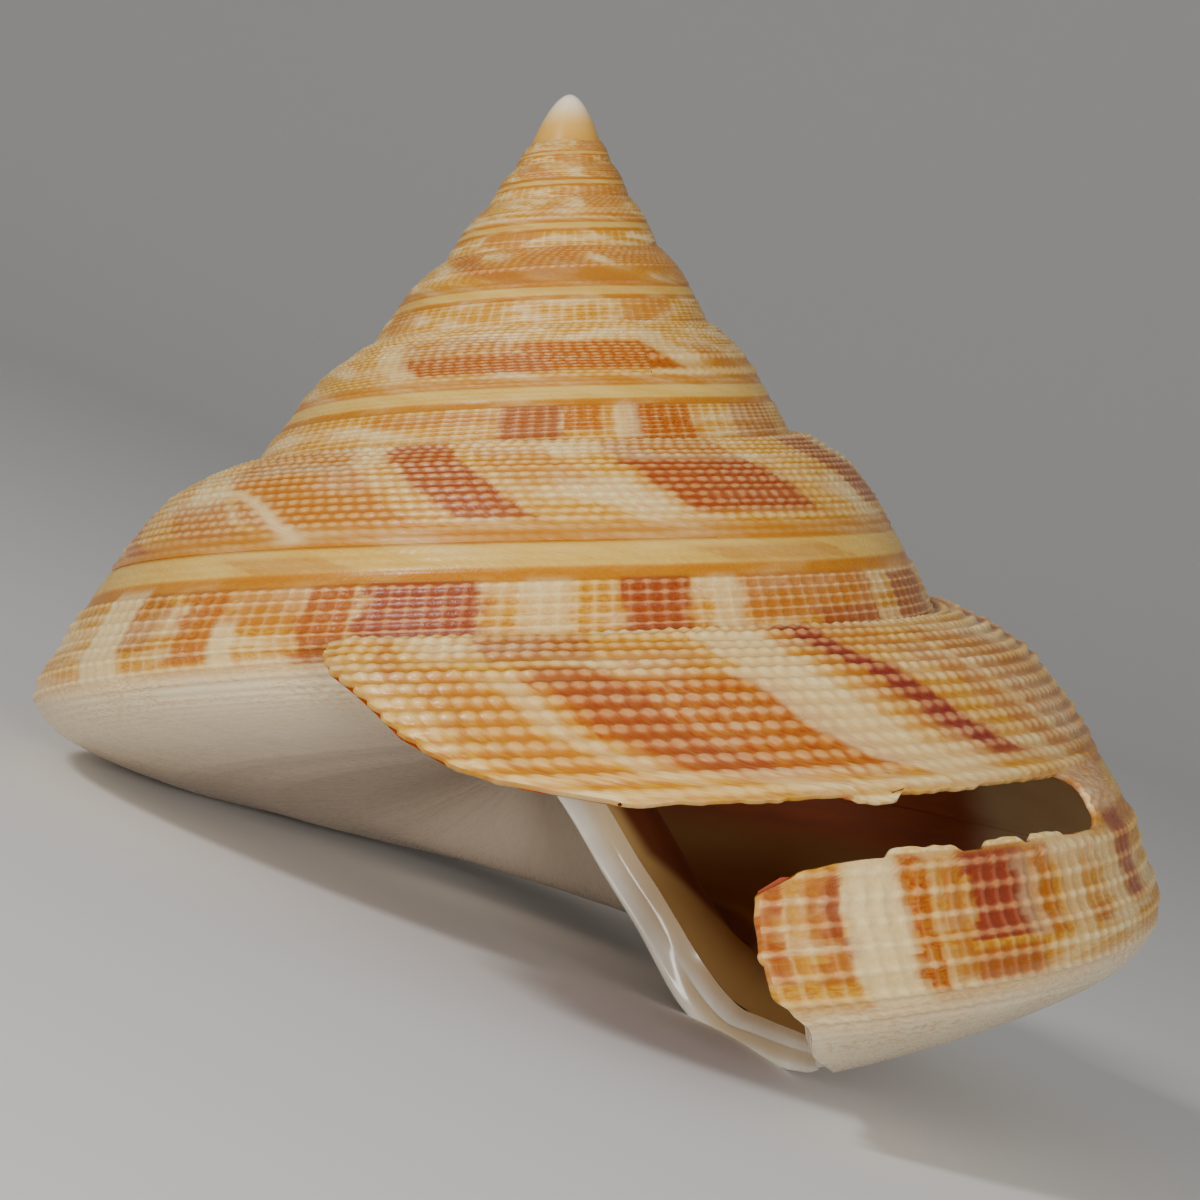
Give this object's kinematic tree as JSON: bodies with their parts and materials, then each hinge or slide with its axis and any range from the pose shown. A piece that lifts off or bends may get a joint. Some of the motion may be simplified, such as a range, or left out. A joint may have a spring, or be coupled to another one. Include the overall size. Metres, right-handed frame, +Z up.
{
  "type": "slit shell",
  "caption": "Conical spiral sea shell with stepped whorls, an open slit in the last whorl, a hollow mouth and a pearly base, lying on its base with the apex up.",
  "frame": {"origin": "centre of the bounding box's bottom face, on the surface that the shell rests on", "axes": "+Z up; the shell's own axis leans from +Z towards -X at the apex; the mouth and slit face -Y"},
  "size_m": [0.0902, 0.0978, 0.0655],
  "materials": {
    "shell": "satin, natural shell with a glossy pearly base and lip"
  },
  "bodies": {
    "root": {"shell": "shell"}
  },
  "joints": []
}
